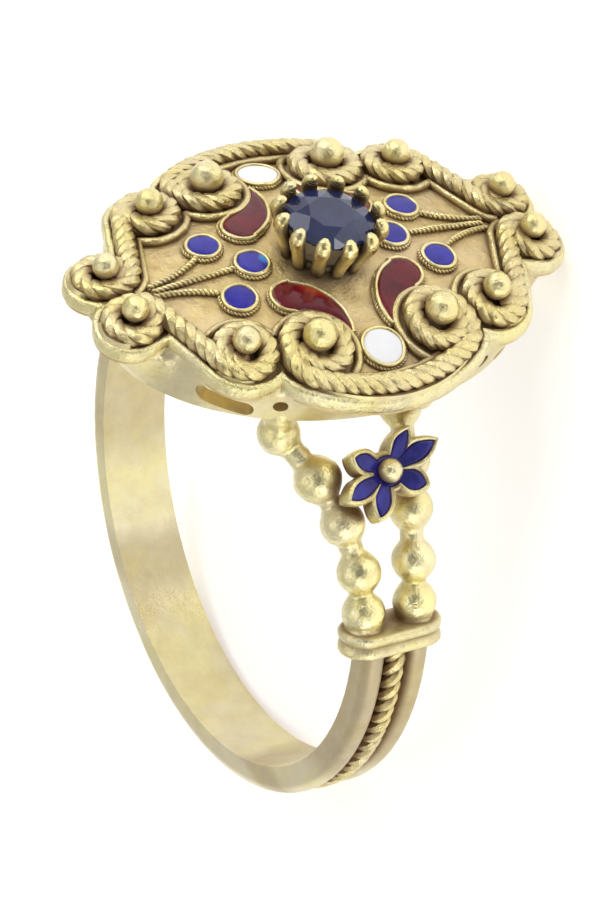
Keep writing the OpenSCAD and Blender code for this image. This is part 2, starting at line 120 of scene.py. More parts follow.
# Each light: its place and the place that it shines at, both of the upright ring, the side of its
# square, all in millimetres, and its power in watts.
LIGHTS = (
    ("soft_box_top", (-60, 120, 150), (0, 0, 5), 120, 0.09),
    ("spot_over_stone", (-20, 45, 160), (0, 0, 8), 30, 0.03),
    ("spot_right", (50, -43, 165), (0, 0, 13), 32, 0.014),
    ("soft_box_left", (-190, -30, 40), (0, 0, 0), 140, 0.05),
    ("soft_box_behind", (-95, 115, -125), (0, 0, 0), 140, 0.008),
    ("soft_box_front", (-60, -190, -20), (0, 0, 5), 100, 0.075),
)
for name, place, aim, size, power in LIGHTS:
    lamp = bpy.data.lights.new(name, "AREA")
    lamp.size = size / 1000
    lamp.energy = power
    light = bpy.data.objects.new(name, lamp)
    start, end = rest @ Vector(place), rest @ Vector(aim)
    turn = (end - start).to_track_quat("-Z", "Y").to_matrix().to_4x4()
    light.matrix_world = Matrix.Translation(start) @ turn
    bpy.context.collection.objects.link(light)

# Hoop: a flat band with a round wire along each edge, in pale yellow gold worn to a satin polish,
# and a two-strand twisted wire of deeper gold soldered into the channel between them. It is open
# at the top, where the collars hold its ends.
BROWN = (0.30, 0.185, 0.08, 1)


def gold(name, colour, roughness, patina_and_shade, reach=0.3, pits=0.3, mottle=0.3, start=0.95, stain_and_shade=BROWN, painted_shading=()):
    """Gold with brown in its recesses, partly tarnish and partly painted shade: patina_and_shade is
    how much, reach how far in millimetres, start how open a place must be to stay free of it, and
    stain_and_shade its colour. pits is how pitted it is, and mottle how cloudy the brown. Each row of
    painted_shading adds painted shade to a stretch of the ring, or painted light where its amount is
    below nought: the axis that it is measured along, from and to in metres, and how much."""
    material = bpy.data.materials.new(name)
    tree, add, shader = nodes_of(material)
    place = add("TexCoord").outputs["Object"]
    cloud = add("TexNoise", Scale=1400, Detail=4, Roughness=0.6)
    speck = add("TexNoise", Scale=9000, Detail=5, Roughness=0.65)
    for texture in (cloud, speck):
        tree.links.new(place, texture.inputs["Vector"])
    # Brown goes where this finds a recess, partly as tarnish and partly as painted shade.
    shade = add("AmbientOcclusion", samples=8, Distance=reach / 1000)
    deep = add("MapRange", From_Min=start, From_Max=start - 0.6)
    tree.links.new(shade.outputs["AO"], deep.inputs["Value"])
    uneven = add("Math", operation="MULTIPLY_ADD")
    uneven.inputs[1].default_value = mottle
    uneven.inputs[2].default_value = -0.42 * mottle
    tree.links.new(cloud.outputs["Fac"], uneven.inputs[0])
    # Each row of bands adds painted shade to a stretch of the ring, or takes it away where its amount is
    # below nought.
    for axis, low, high, amount in painted_shading:
        toward = add("VectorMath", operation="DOT_PRODUCT")
        toward.inputs[1].default_value = axis
        tree.links.new(place, toward.inputs[0])
        fade = add("MapRange", From_Min=low, From_Max=high, To_Max=amount)
        tree.links.new(toward.outputs["Value"], fade.inputs["Value"])
        total = add("Math")
        tree.links.new(uneven.outputs["Value"], total.inputs[0])
        tree.links.new(fade.outputs["Result"], total.inputs[1])
        uneven = total
    both = add("Math", operation="MULTIPLY_ADD", use_clamp=True)
    both.inputs[1].default_value = patina_and_shade
    tree.links.new(deep.outputs["Result"], both.inputs[0])
    tree.links.new(uneven.outputs["Value"], both.inputs[2])
    tone = add("TexNoise", Scale=620, Detail=2)
    tree.links.new(place, tone.inputs["Vector"])
    hues = add("ValToRGB")
    hues.color_ramp.elements[0].position = 0.38
    hues.color_ramp.elements[0].color = (colour[0], colour[1], 0.88 * colour[2], 1)
    hues.color_ramp.elements[1].position = 0.62
    hues.color_ramp.elements[1].color = (colour[0], 1.01 * colour[1], 1.1 * colour[2], 1)
    tree.links.new(tone.outputs["Fac"], hues.inputs["Fac"])
    mix = add("Mix", data_type="RGBA")
    tree.links.new(hues.outputs["Color"], mix.inputs["A"])
    mix.inputs["B"].default_value = stain_and_shade
    tree.links.new(both.outputs["Value"], mix.inputs["Factor"])
    tree.links.new(mix.outputs["Result"], shader.inputs["Base Color"])
    rough = add("MapRange", To_Min=roughness - 0.05, To_Max=roughness + 0.3)
    metal = add("MapRange", To_Min=1, To_Max=0.3)
    for level, socket in ((rough, "Roughness"), (metal, "Metallic")):
        tree.links.new(both.outputs["Value"], level.inputs["Value"])
        tree.links.new(level.outputs["Result"], shader.inputs[socket])
    lump = add("TexNoise", Scale=2600, Detail=2)
    tree.links.new(place, lump.inputs["Vector"])
    fine = add("Bump", Strength=pits, Distance=0.00003)
    tree.links.new(speck.outputs["Fac"], fine.inputs["Height"])
    coarse = add("Bump", Strength=0.5 * pits, Distance=0.00012)
    tree.links.new(lump.outputs["Fac"], coarse.inputs["Height"])
    tree.links.new(fine.outputs["Normal"], coarse.inputs["Normal"])
    tree.links.new(coarse.outputs["Normal"], shader.inputs["Normal"])
    return material


# Directions of the ring as it lies: from its middle to the stone, and to its front.
TO_STONE, TO_FRONT = (0.9357, 0, 0.3527), (0, -1, 0)
# Painted shade on the hoop in bands: darker toward its front, in a band low down, and on its upper part
# toward the collars. The row with an amount below nought takes the low band's painted shade away again above
# it.
HOOP_PAINTED_SHADING = [
    (TO_FRONT, -0.0038, -0.0005, 0.2),
    (TO_STONE, -0.0084, -0.0080, 0.26),
    (TO_STONE, -0.0073, -0.0068, -0.26),
    (TO_STONE, -0.0054, -0.0040, 0.32),
]
satin = gold("satin_gold", (0.86, 0.775, 0.48), 0.3, 0.8, 0.6, 0.2, 0.35, painted_shading=HOOP_PAINTED_SHADING)
worn = gold("worn_gold", (0.78, 0.66, 0.33), 0.25, 1.6, 0.4, 1.0, 0.6)


def wire(bm, points, radius, resolution=2, closed=False):
    """Sweeps a round wire along the points; radius is one number, or one for each point."""
    curve = bpy.data.curves.new("wire", "CURVE")
    curve.dimensions = "3D"
    curve.bevel_depth = 1
    curve.bevel_resolution = resolution
    curve.use_fill_caps = True
    spline = curve.splines.new("POLY")
    spline.points.add(len(points) - 1)
    spline.use_cyclic_u = closed
    for i, (knot, place) in enumerate(zip(spline.points, points)):
        knot.co = (*place, 1)
        knot.radius = radius[i] if isinstance(radius, list) else radius
    holder = bpy.data.objects.new("wire", curve)
    mesh = bpy.data.meshes.new_from_object(holder)
    bm.from_mesh(mesh)
    bpy.data.meshes.remove(mesh)
    bpy.data.curves.remove(curve)


def twisted(bm, path, radius, pitch, closed=False, strands=2):
    """Round wires twisted together along a path of points and normals, pitch to the turn."""
    ends = path[1:] + path[:1] if closed else path[1:]
    runs = [0]
    for (p, _), (q, _) in zip(path, ends):
        runs.append(runs[-1] + (q - p).length)
    turns = max(1, round(runs[-1] / pitch))
    count = turns * 10
    spread = path + path[:1] if closed else path
    rows, k = [], 0
    for i in range(count if closed else count + 1):
        run = runs[-1] * i / count
        while k < len(runs) - 2 and runs[k + 1] < run:
            k += 1
        t = (run - runs[k]) / max(runs[k + 1] - runs[k], 1e-9)
        (p, n), (q, m) = spread[k], spread[k + 1]
        ahead = (q - p).normalized()
        up = (n.lerp(m, t) - ahead * n.lerp(m, t).dot(ahead)).normalized()
        rows.append((p.lerp(q, t), up.cross(ahead), up, 2 * pi * turns * i / count))
    for strand in range(strands):
        start = 2 * pi * strand / strands
        points = []
        for p, side, up, a in rows:
            points.append(p + 0.43 * radius * (cos(a + start) * side + sin(a + start) * up))
        wire(bm, points, 0.58 * radius, closed=closed)


def piece(name, bm, material, slot, *replaced):
    """Lays a finished mesh on its side and makes it a piece of the ring."""
    bmesh.ops.recalc_face_normals(bm, faces=bm.faces)
    for face in bm.faces:
        face.smooth = True
    bm.transform(rest)
    mesh = bpy.data.meshes.new(name)
    bm.to_mesh(mesh)
    bm.free()
    mesh.set_sharp_from_angle(angle=radians(40))
    mesh.materials.append(material)
    made = bpy.data.objects.new(name, mesh)
    bpy.context.collection.objects.link(made)
    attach(made, "root")
    if replaced:
        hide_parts(*replaced)
    return made


def finish_node(name, material):
    """Gives a solid that shows as it is its material."""
    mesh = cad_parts[name].data
    mesh.materials.clear()
    mesh.materials.append(material)


finish_node("hoop_band", satin)
# The twisted wire runs from one end of the hoop to the other, HOOP_END degrees from its bottom.
HOOP_END, HOOP_STEPS = 105, 205
HOOP_WIRE_PLACE, HOOP_WIRE_R, HOOP_WIRE_PITCH = 9.13, 0.38, 1.08
laid = []
for i in range(2 * HOOP_STEPS + 1):
    a = radians(-HOOP_END + HOOP_END * i / HOOP_STEPS)
    outward = Vector((0, sin(a), -cos(a)))
    laid.append((HOOP_WIRE_PLACE * outward, outward))
bm = bmesh.new()
twisted(bm, laid, HOOP_WIRE_R, HOOP_WIRE_PITCH)
piece("hoop_twisted_wire", bm, worn, "gold", "hoop_rope")

# Collars: a short gold bar soldered across each end of the hoop, long and round-ended, with two
# rounded ridges about a shallow groove, and cut to the finger on its inner side.
# LEAN is how far the shoulders stand to the right of the stone, and COLLAR_TURN is in degrees from
# the hoop's bottom.
LEAN = -0.4
noise.seed_set(4)
FINGER_R = 8.53
COLLAR_TURN, COLLAR_PLACE = 108.15, 9.35
COLLAR_STRAIGHT, COLLAR_R = 0.95, 0.85
# From its end face to the groove: how far in from its radius, and how far from its middle.
RIDGES = [
    (0.4, 0.4), (0.13, 0.4), (0.05, 0.375), (0.005, 0.31),
    (0.0, 0.22), (0.02, 0.12), (0.08, 0.04), (0.1, 0),
]


def loop(bm, points):
    """Closed ring of edges through the points."""
    verts = [bm.verts.new(p) for p in points]
    return [bm.edges.new((verts[i - 1], verts[i])) for i in range(len(verts))]


def skin(bm, rings, capped=True):
    """Joins rings of edges into a closed shell, or into a closed tube of walls."""
    pairs = zip(rings, rings[1:] if capped else rings[1:] + rings[:1])
    for a, b in pairs:
        bmesh.ops.bridge_loops(bm, edges=a + b)
    if capped:
        bmesh.ops.holes_fill(bm, edges=rings[0] + rings[-1], sides=0)


def hammer(bm, amount, closeness):
    """Moves each point a little, as hand work does; closeness is how fast that changes."""
    for vert in bm.verts:
        vert.co += amount * noise.noise_vector(vert.co * closeness)


collar_gold = gold("collar_gold", (0.84, 0.74, 0.41), 0.26, 1.5, 0.9, 1.0, 0.7)
for side, front in (("front", -1), ("back", 1)):
    seat = Matrix.Diagonal((1, front, 1, 1)) @ Matrix.Rotation(radians(COLLAR_TURN), 4, "X")
    seat = seat @ Matrix.Translation((LEAN, 0, -COLLAR_PLACE))
    bm = bmesh.new()
    rings = []
    for inset, z in RIDGES + [(inset, -z) for inset, z in RIDGES[-2::-1]]:
        points = []
        for k in range(96):
            turn = 2 * pi * (k + 0.5) / 96
            middle = COLLAR_STRAIGHT if cos(turn) > 0 else -COLLAR_STRAIGHT
            r = COLLAR_R - inset
            point = seat @ Vector((middle + r * cos(turn), z, r * sin(turn)))
            push = max(1, FINGER_R / hypot(point.y, point.z))
            points.append(Vector((point.x, point.y * push, point.z * push)))
        rings.append(loop(bm, points))
    skin(bm, rings)
    hammer(bm, 0.03, 1.6)
    piece("ridged_collar_" + side, bm, collar_gold, "gold", "collar_" + side)

# Shoulders: each is two strands of gold beads, soldered bead to bead with rough necks, that part
# from the collar and end in stout posts under the gallery. The left strand swings out the most.
BEAD_PLACE, STRAND_APART, STRAND_START = 9.3, 0.95, 110.1
NECK_R, ROOT_GROWTH = 0.38, 0.26
POST_R, POST_GROWTH, TIP_R = 0.45, 0.1, 0.55
POST_TIP = (0, -0.25, 0.35)
# Each bead: how far round the hoop from its bottom, in degrees, and its radius.
BEADS = [(113.6, 0.71), (122.2, 0.72), (132.5, 0.74), (142, 0.79), (152.6, 0.71)]
# Each strand: its hand, how fast it swings out, and the post's way on from the last bead.
STRANDS = (("left", -1, 0.0012, (-0.2, 0.02, 1.1)), ("right", 1, 0.0005, (0.09, 0.7, 1.2)))
# Painted shade on the beads: the higher ones, under the gallery, are browner.
BEAD_PAINTED_SHADE = [(TO_STONE, 0.003, 0.008, 0.12)]
beads = gold("bead_gold", (0.97, 0.87, 0.48), 0.22, 1.3, 0.8, 0.8, 0.7, 0.82, painted_shading=BEAD_PAINTED_SHADE)


def bead_at(angle, hand, spread):
    """Middle of a strand of the back shoulder at an angle round the hoop."""
    x = LEAN + hand * (STRAND_APART + spread * (angle - BEADS[0][0]) ** 2)
    return Vector((x, BEAD_PLACE * sin(radians(angle)), -BEAD_PLACE * cos(radians(angle))))


for side, front in (("front", -1), ("back", 1)):
    mirrored = Vector((1, front, 1))
    for hand_name, hand, spread, post in STRANDS:
        centres = [(bead_at(a, hand, spread), r) for a, r in BEADS]
        end = centres[-1][0] + Vector(post)
        tip = end + Vector(POST_TIP)
        core = [bead_at(STRAND_START, hand, spread)] + [c for c, r in centres] + [end, tip]
        points, radii = [], []
        for p, q in zip(core, core[1:]):
            for i in range(30):
                at = p.lerp(q, i / 30)
                ball = max(sqrt(max(r * r - (at - c).length_squared, 0)) for c, r in centres)
                neck = NECK_R + (ROOT_GROWTH * (1 - i / 30) if p is core[0] else 0)
                if q is end:
                    neck = POST_R + POST_GROWTH * (i / 30) ** 2
                if q is tip:
                    neck = TIP_R * sqrt(1 - (i / 30) ** 2)
                points.append(at * mirrored)
                radii.append(0.07 * log(exp(ball / 0.07) + exp(neck / 0.07)))
        bm = bmesh.new()
        wire(bm, points, radii, 9)
        for vert in bm.verts:
            apart = min((vert.co * mirrored - c).length - r for c, r in centres)
            rough = max(0.01, min(0.04, 0.3 * abs(apart), 0.3 - 0.5 * apart))
            vert.co += 0.02 * noise.noise_vector(vert.co * 1.7)
            vert.co += rough * noise.noise_vector(vert.co * 4.3)
        piece(f"beads_{side}_{hand_name}", bm, beads, "gold", f"bead_strand_{side}_{hand_name}")

# Flowers: six cupped gold petals about a ball, soldered into each fork of the beads, with dark
# blue enamel fired into the cups, that runs from petal to petal.
FLOWER_TURN, FLOWER_PLACE = 140.2, (-0.5, 0, -10.13)
FLOWER_R, PETAL_START, PETAL_RISE, HEART_R = 2.05, 0.2, 0.158, 0.68
BALL_R, BALL_RAISED = 0.39, 0.68
# Each petal: its direction in degrees, its length as a share of FLOWER_R, and half its width.
PETALS = [
    (30, 0.73, 0.5), (118, 0.84, 0.44), (159, 0.94, 0.44),
    (210, 0.71, 0.46), (309, 0.8, 0.4), (341, 1, 0.46),
]
# The gold from below to the cups' lip and into them, and the enamel from the cups to the ball:
# how far in from the petals' outline, how high, and what share of the way out.
CUPS = [
    (0.34, -0.42), (0.16, -0.4), (0.05, -0.26), (0.005, 0.0), (0.0, 0.36),
    (0.025, 0.44), (0.085, 0.485), (0.15, 0.465), (0.175, 0.39), (0.18, 0.3),
]
CUP_GLASS = [
    (0.17, 0.32), (0.17, 0.40), (0.2, 0.43), (0.24, 0.445), (0.24, 0.45, 0.85),
    (0.24, 0.45, 0.7), (0.24, 0.45, 0.55), (0.24, 0.45, 0.4), (0.24, 0.45, 0.2),
]


def glaze(name, colour, dark, depth=0.12, fired=None):
    """Glossy fired enamel, cloudy in its depth. fired is a place of the upright ring, a radius and
    a colour where the glass took another tint in the kiln."""
    material = bpy.data.materials.new(name)
    tree, add, shader = nodes_of(material)
    place = add("TexCoord").outputs["Object"]
    cloud = add("TexNoise", Scale=1100, Detail=4, Roughness=0.6)
    tree.links.new(place, cloud.inputs["Vector"])
    ramp = add("ValToRGB")
    ramp.color_ramp.elements[0].position = 0.36
    ramp.color_ramp.elements[0].color = (*dark, 1)
    ramp.color_ramp.elements[1].position = 0.64
    ramp.color_ramp.elements[1].color = (*colour, 1)
    tree.links.new(cloud.outputs["Fac"], ramp.inputs["Fac"])
    tinted = ramp.outputs["Color"]
    if fired:
        where, radius, tint = fired
        away = add("VectorMath", operation="DISTANCE")
        away.inputs[1].default_value = rest @ Vector(where)
        tree.links.new(place, away.inputs[0])
        near = add("MapRange", From_Min=radius / 1000, From_Max=0.5 * radius / 1000)
        tree.links.new(away.outputs["Value"], near.inputs["Value"])
        mix = add("Mix", data_type="RGBA")
        tree.links.new(near.outputs["Result"], mix.inputs["Factor"])
        tree.links.new(tinted, mix.inputs["A"])
        mix.inputs["B"].default_value = (*tint, 1)
        tinted = mix.outputs["Result"]
    tree.links.new(tinted, shader.inputs["Base Color"])
    shader.inputs["Roughness"].default_value = 0.12
    shader.inputs["Specular IOR Level"].default_value = 0.3
    shader.inputs["Coat Weight"].default_value = 0.12
    shader.inputs["Coat Roughness"].default_value = 0.05
    bump = add("Bump", Strength=depth, Distance=0.00006)
    ripple = add("TexNoise", Scale=2200, Detail=3)
    tree.links.new(place, ripple.inputs["Vector"])
    tree.links.new(ripple.outputs["Fac"], bump.inputs["Height"])
    tree.links.new(bump.outputs["Normal"], shader.inputs["Normal"])
    return material


flower_blue = glaze("flower_glaze", (0.035, 0.032, 0.30), (0.012, 0.010, 0.14))


def petal_reach(turn, inset):
    """Distance from the ball to the petals' pointed outline, moved in by inset."""
    reach = HEART_R - inset
    for direction, share, width in PETALS:
        half = (share * FLOWER_R - PETAL_START) / 2 - inset
        wide = width - inset
        arc = (half * half + wide * wide) / (2 * wide)
        off = abs((turn - radians(direction) + pi) % (2 * pi) - pi)
        centre = Vector((share * FLOWER_R / 2 + PETAL_START / 2, wide - arc))
        ray = Vector((cos(off), sin(off)))
        miss = centre.x * ray.y - centre.y * ray.x
        if abs(miss) < arc and off < 1.2:
            reach = max(reach, centre.dot(ray) + sqrt(arc * arc - miss * miss))
    return reach


def star(seat, inset, z, share=1.0):
    """Outline of all the petals of a flower, which rise toward their tips."""
    points = []
    for k in range(360):
        r, turn = petal_reach(2 * pi * k / 360, inset) * share, 2 * pi * k / 360
        points.append(seat @ Vector((r * cos(turn), r * sin(turn), z + PETAL_RISE * r)))
    return points


for side, front in (("front", -1), ("back", 1)):
    seat = Matrix.Diagonal((1, front, 1, 1)) @ Matrix.Rotation(radians(FLOWER_TURN), 4, "X")
    seat = seat @ Matrix.Translation(FLOWER_PLACE) @ Matrix.Rotation(pi, 4, "X")
    gold_bm, enamel_bm = bmesh.new(), bmesh.new()
    skin(gold_bm, [loop(gold_bm, star(seat, *row)) for row in CUPS])
    skin(enamel_bm, [loop(enamel_bm, star(seat, *row)) for row in CUP_GLASS])
    ball_seat = seat @ Matrix.Translation((0, 0, BALL_RAISED))
    bmesh.ops.create_icosphere(gold_bm, subdivisions=4, radius=BALL_R, matrix=ball_seat)
    hammer(gold_bm, 0.03, 2.1)
    piece("flower_cups_" + side, gold_bm, collar_gold, "gold", "flower_" + side)
    piece("flower_glaze_" + side, enamel_bm, flower_blue, "blue_enamel", "flower_enamel_" + side)

# Plaque: a domed gold plate, matte and browner next to its wires, soldered into a raised rim of
# thin bright strip. Its outline follows the scrolls, a fixed way outside the line of their wire.
PLATE_GROWN, PLATE_THICK = 0.45, 0.3
# The dome's radii along and across the finger, and its top's height over the hole's middle.
LONG_R, CROSS_R, CROWN = 45, 16.7, 11.6
# In plan, from the stone: the middles of the three kinds of volute, and of the arcs that the
# scrolls' wire follows over the lobe and at the shoulder, with the radii of their line.
BIG, SIDE, END = (2.24, 3.9), (4.6, 3.4), (7.35, 1.05)
LOBE, SHOULDER = (0, 0.45), (4.42, 3.05)
BIG_R, END_R, LOBE_R, SHOULDER_R = 1.187, 0.869, 5.3, 1.15
END_TIP_R = 0.68
# Directions in degrees: where the lobe's arc ends, and where the shoulder's meets a straight run.
LOBE_END, RUN_START = 57, 21


def dome(x, y, lift=0.0):
    """Point above the plaque's dome, and the dome's normal there."""
    across = sqrt((LONG_R + lift) ** 2 - x * x) - (LONG_R - CROSS_R)
    place = Vector((x, y, sqrt(across * across - y * y) - CROSS_R + CROWN))
    return place, Vector((x / LONG_R, y / CROSS_R, 1)).normalized()


def edge_reach(angle, grow):
    """Distance in plan from the stone to the scrolls' line, moved out by grow."""
    ray = Vector((abs(cos(angle)), abs(sin(angle))))
    turn = atan2(ray.y, ray.x)

    def circle_reach(centre, radius):
        centre = Vector(centre)
        miss = centre.x * ray.y - centre.y * ray.x
        return centre.dot(ray) + sqrt(radius * radius - miss * miss) if abs(miss) < radius else 0

    run = Vector((cos(radians(RUN_START)), sin(radians(RUN_START))))
    lobe_end = Vector((cos(radians(LOBE_END)), sin(radians(LOBE_END))))
    lobe_end = Vector(LOBE) + (LOBE_R + grow) * lobe_end
    run_start = Vector(SHOULDER) + (SHOULDER_R + grow) * run
    arcs = ((BIG, BIG_R), (SHOULDER, SHOULDER_R), (END, END_TIP_R))
    reaches = [circle_reach(centre, radius + grow) for centre, radius in arcs]
    if turn > atan2(lobe_end.y, lobe_end.x):
        reaches.append(circle_reach(LOBE, LOBE_R + grow))
    if turn < atan2(run_start.y, run_start.x):
        reaches.append((Vector(END).dot(run) - END_R + grow) / ray.dot(run))
    return max(reaches)


def round_edge(grow, lift, share=1.0, count=720):
    """Points round the plaque: its outline grown, shrunk by a share, above the dome."""
    points = []
    for i in range(count):
        a = 2 * pi * (i + 0.5) / count
        r = edge_reach(a, grow) * share
        points.append(dome(r * cos(a), r * sin(a), lift)[0])
    return points


UMBER = (0.34, 0.20, 0.08, 1)
plate = gold("plate_gold", (0.74, 0.58, 0.31), 0.5, 0.45, 0.6, 1.0, 0.9, 0.85, UMBER)
shares = [1, 0.985, 0.96, 0.92, 0.86, 0.79, 0.71, 0.62, 0.52, 0.41, 0.3, 0.2, 0.1, 0.01]
rows = [(-PLATE_THICK, share) for share in reversed(shares)] + [(0, share) for share in shares]
bm = bmesh.new()
skin(bm, [loop(bm, round_edge(PLATE_GROWN, lift, share, 360)) for lift, share in rows])
for vert in bm.verts:
    vert.co.z += 0.012 * noise.noise(vert.co * 1.4)
piece("plate", bm, plate, "gold", "plaque")

# Round the strip's section: how far out from the scrolls' line, and how high over the plate.
STRIP = [
    (0.4, -0.12), (0.53, -0.12), (0.55, -0.08), (0.558, 0.02), (0.56, 0.2), (0.545, 0.255), (0.505, 0.285),
    (0.45, 0.295), (0.385, 0.29), (0.335, 0.265), (0.29, 0.19), (0.25, 0.06), (0.26, -0.03),
]
rim_gold = gold("rim_gold", (0.85, 0.76, 0.42), 0.28, 0.8, 0.15, 1.2, 0.6, 0.85)
bm = bmesh.new()
skin(bm, [loop(bm, round_edge(*row)) for row in STRIP], capped=False)
hammer(bm, 0.02, 1.9)
piece("rim", bm, rim_gold, "gold")

# Scrolls: gold wires of three strands twisted together, soldered to the plate just inside the
# rim and curled into a volute at each end, with their crests burnished flat and bright.
SCROLL_LIFT, SCROLL_R, SCROLL_PITCH, SCROLL_CREST = 0.37, 0.36, 1.3, 0.62
# Each row is an arc: its middle, its radius at each end, and its angle in degrees at each end.
LOBE_SCROLL = [
    (-BIG[0], BIG[1], 0.6, 0.86, 550, 420),
    (-BIG[0], BIG[1], 0.86, 0.92, 420, 192),
    (-BIG[0], BIG[1], 0.92, BIG_R, 192, 123),
    (*LOBE, LOBE_R, LOBE_R, 123, 57),
    (*BIG, BIG_R, 0.92, 57, -12),
    (*BIG, 0.92, 0.86, -12, -240),
    (*BIG, 0.86, 0.6, -240, -370),
]
SIDE_SCROLL = [
    (*SIDE, 0.5, 0.72, 80, -50),
    (*SIDE, 0.72, 0.8, -50, -262),
    (*SHOULDER, SHOULDER_R, SHOULDER_R, 86, 21),
    (*END, END_R, 0.66, 201, 262),
    (*END, 0.66, 0.69, 262, 480),
    (*END, 0.69, 0.48, 480, 590),
]


def along(rows, step=0.08):
    """Points in plan along a wire's arcs."""
    points = []
    for x, y, r1, r2, a1, a2 in rows:
        count = max(2, ceil(abs(radians(a2 - a1)) * (r1 + r2) / 2 / step))
        for i in range(count + 1):
            t = i / count
            r, a = r1 + (r2 - r1) * t, radians(a1 + (a2 - a1) * t)
            point = (x + r * cos(a), y + r * sin(a))
            if not points or hypot(point[0] - points[-1][0], point[1] - points[-1][1]) > step / 4:
                points.append(point)
    return points


def on_dome(points, lift, mirror=(1, 1)):
    """The points of a plan set above the dome, each with the dome's normal."""
    return [dome(x * mirror[0], y * mirror[1], lift) for x, y in points]


def handmade(bm, amount, crest=None):
    """Unevenness of bent wire, with everything above a crest's height rubbed down."""
    hammer(bm, amount, 3.1)
    for vert in bm.verts if crest else ():
        height = vert.co.z - dome(vert.co.x, vert.co.y)[0].z
        if height > crest:
            vert.co.z -= 0.7 * (height - crest)


for node, mirror, rows in (
    ("lobe_scroll_back", (1, 1), LOBE_SCROLL),
    ("lobe_scroll_front", (1, -1), LOBE_SCROLL),
    ("scroll_back_left", (-1, 1), SIDE_SCROLL),
    ("scroll_back_right", (1, 1), SIDE_SCROLL),
    ("scroll_front_left", (-1, -1), SIDE_SCROLL),
    ("scroll_front_right", (1, -1), SIDE_SCROLL),
):
    bm = bmesh.new()
    path = on_dome(along(rows), SCROLL_LIFT, mirror)
    twisted(bm, path, SCROLL_R, SCROLL_PITCH, strands=3)
    handmade(bm, 0.03, SCROLL_CREST)
    piece("twisted_" + node, bm, worn, "gold", node)

# Lining wires: plain round gold wires, bent to the scrolls' inner sides and round each volute, and
# soldered to the plate there.
LINING_IN, LINING_LIFT, LINING_R = 0.48, 0.13, 0.14
LINING = [
    [(*BIG, 1.4, 1.4, 126, 322)],
    [(*SIDE, 1.3, 1.3, 196, 307), (*END, END_R + LINING_IN, 1.16, 201, 236)],
]
LOBE_LINING = [(*LOBE, LOBE_R - LINING_IN, LOBE_R - LINING_IN, 112, 68)]


def on_plate(points, lift, mirror):
    """The points of a plan set above the dome."""
    return [place for place, _ in on_dome(points, lift, mirror)]


bm = bmesh.new()
for mirror in ((1, 1), (-1, 1), (1, -1), (-1, -1)):
    for rows in LINING:
        wire(bm, on_plate(along(rows), LINING_LIFT, mirror), LINING_R, 3)
for mirror in ((1, 1), (1, -1)):
    wire(bm, on_plate(along(LOBE_LINING), LINING_LIFT, mirror), LINING_R, 3)
handmade(bm, 0.02)
piece("plain_lining_wires", bm, worn, "gold")

# Grains: balls of gold melted round, one soldered into every volute, and rubbed flat and bright
# on top.
GRAINS = ((BIG, 0.55), (SIDE, 0.46), (END, 0.43))
GRAIN_RAISED = 0.85
grain_gold = gold("grain_gold", (0.86, 0.75, 0.39), 0.24, 1.0, 0.4, 1.0, 0.5)
number = 0
for (cx, cy), size in GRAINS:
    for mirror in ((1, 1), (-1, 1), (1, -1), (-1, -1)):
        number += 1
        place, normal = dome(cx * mirror[0], cy * mirror[1])
        centre = place + Vector((0, 0, GRAIN_RAISED))
        bm = bmesh.new()
        seat = Matrix.Translation(centre)
        bmesh.ops.create_icosphere(bm, subdivisions=5, radius=size, matrix=seat)
        for vert in bm.verts:
            vert.co += 0.03 * size * noise.noise_vector(vert.co * 1.3 / size)
            rise = (vert.co - centre).dot(normal)
            if rise > 0.9 * size:
                vert.co -= 0.5 * (rise - 0.9 * size) * normal
        piece(f"grain_ball_{number}", bm, grain_gold, "gold", f"grain_{number}")

# Cells: a plain gold wire with a fine twisted one outside it is bent round each pool of enamel and
# soldered to the plate, and three twisted wires more run from the blue cells to each of its ends.
WHITE_CELL, CENTRE_CELL, SIDE_CELL = (0, 4.3, 0.64), (2.58, 0, 0.5), (3.68, 1.28, 0.5)
# Each arc of the drop-shaped cell: its middle and radius, 1 or -1 where growing the cell makes
# that radius larger or smaller, and its angle in degrees at each end.
DROP = [(2.58, 3.0, 1.9, 1, 163.2, 248.7), (2.08, 1.72, 0.58, 1, 249, 435), (*BIG, 1.52, -1, 266, 193.6)]
CELL_GROWN, CELL_LIFT, CELL_R = 0.055, 0.17, 0.07
BRAID_GROWN, BRAID_LIFT, BRAID_R, BRAID_PITCH = 0.115, 0.07, 0.08, 0.24
STALK_LIFT, STALK_R, STALK_PITCH = 0.1, 0.11, 0.32
STALK_BEND = ((4.06, 0.92), (4.95, 0.32), (6.15, 0.22))
MIDDLE_STALK_START, MIDDLE_STALK_LONG = 3.18, 2.9


def drop(grow):
    """Outline of the drop-shaped cell, moved out by grow."""
    return along([(x, y, r + way * grow, r + way * grow, a1, a2) for x, y, r, way, a1, a2 in DROP])


def circle(cell):
    """A round cell's outline, as a function of how far it is moved out."""
    x, y, r = cell
    return lambda grow: along([(x, y, r + grow, r + grow, 0, 352)])


